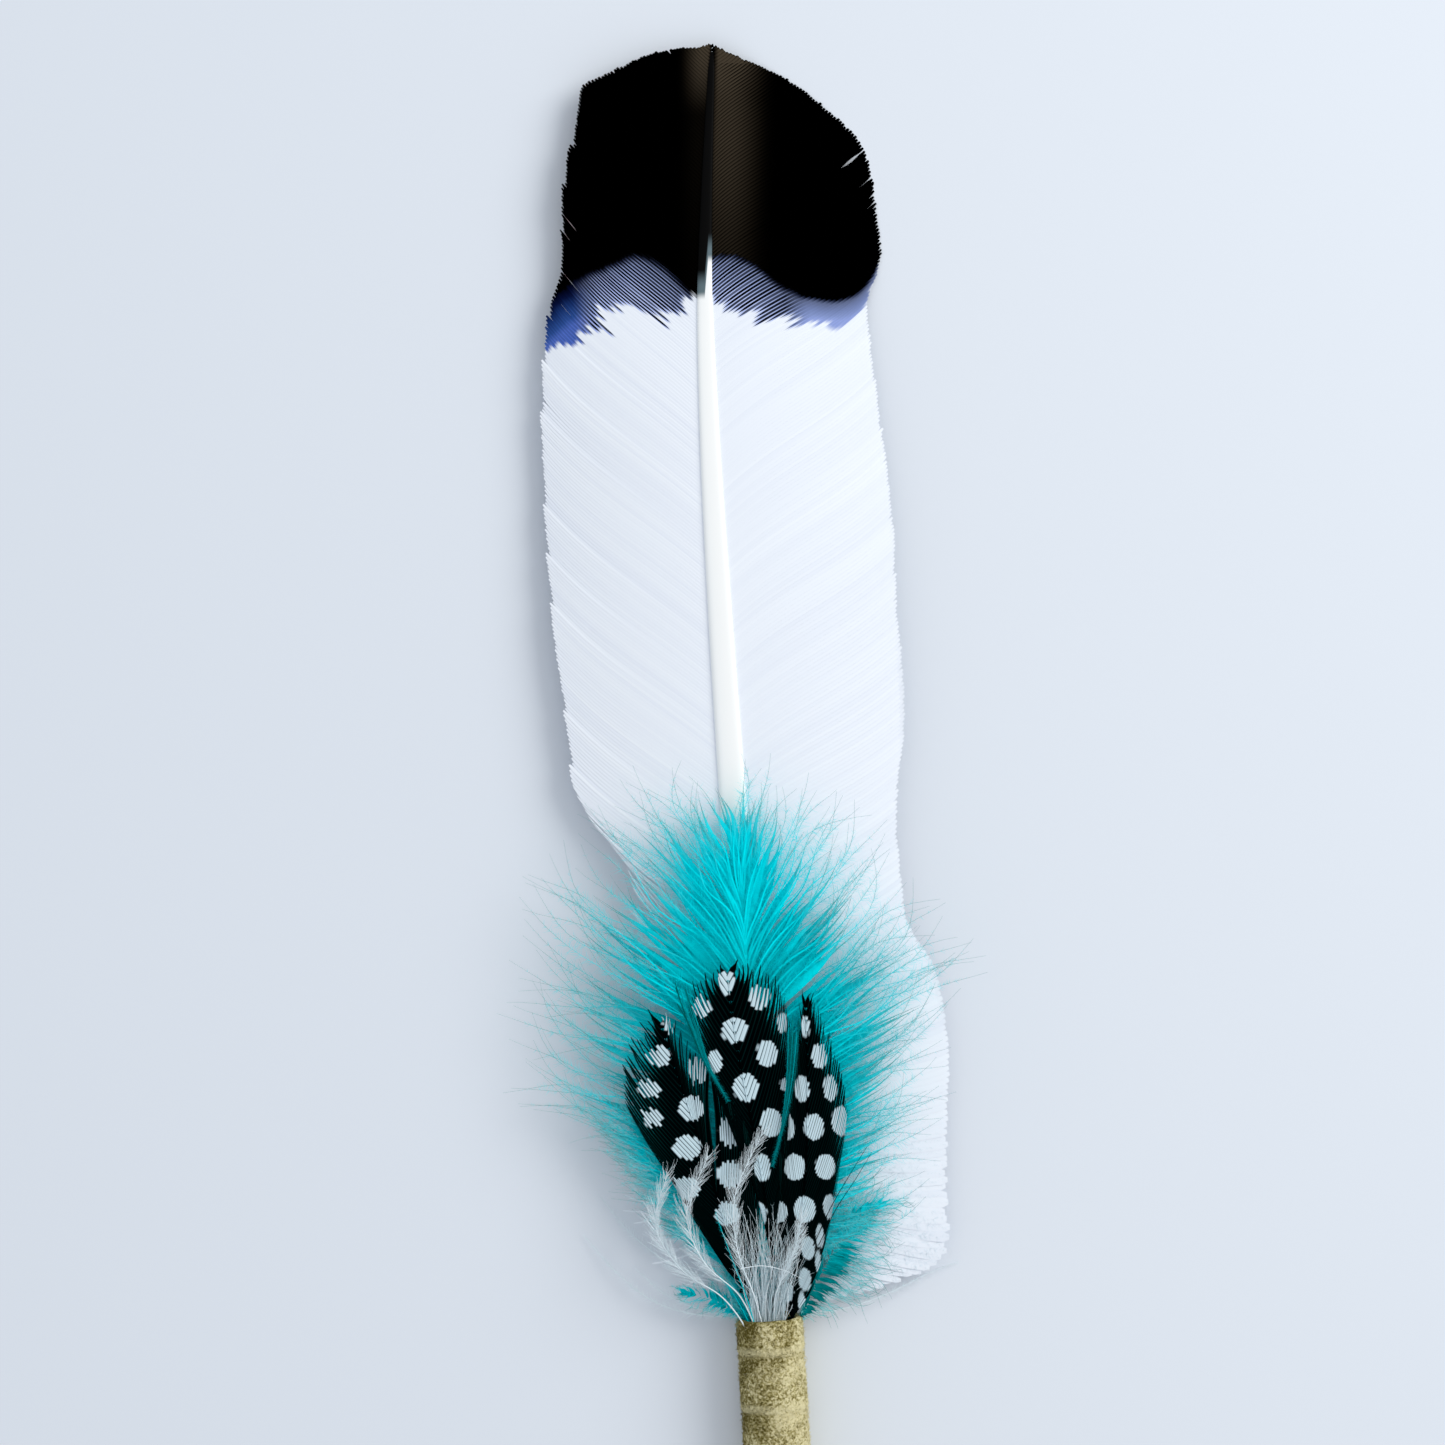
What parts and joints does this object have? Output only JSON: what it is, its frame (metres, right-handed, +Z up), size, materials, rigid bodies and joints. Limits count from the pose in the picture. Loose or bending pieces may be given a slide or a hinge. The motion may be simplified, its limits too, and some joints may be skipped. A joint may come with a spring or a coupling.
{
  "type": "smudging feather",
  "caption": "Smudging feather: a large white wing feather with a dyed black tip, trimmed with turquoise marabou, spotted guinea feathers and white down, in a suede-wrapped handle.",
  "frame": {"origin": "middle of the flat under the suede handle, where it rests on the surface", "axes": "+Y along the handle towards the feather's tip, +Z up from the surface, +X to the right seen from above"},
  "size_m": [0.087, 0.3217, 0.0139],
  "materials": {
    "white_feather": "satin barbs, white with a black-dyed tip that bleeds blue, off-white horny shaft",
    "turquoise_marabou": "soft matte down, dyed turquoise",
    "guinea_feather": "satin black barbs with pale round dots",
    "white_down": "soft matte down, white",
    "tan_suede": "rough napped suede, matte"
  },
  "bodies": {
    "root": {"main_feather": "white_feather", "marabou_centre": "turquoise_marabou", "marabou_left": "turquoise_marabou", "marabou_right": "turquoise_marabou", "guinea_left": "guinea_feather", "guinea_centre": "guinea_feather", "guinea_right": "guinea_feather", "white_down_far_left": "white_down", "white_down_left": "white_down", "white_down_centre": "white_down", "white_down_right": "white_down", "suede_wrap": "tan_suede"}
  },
  "joints": []
}
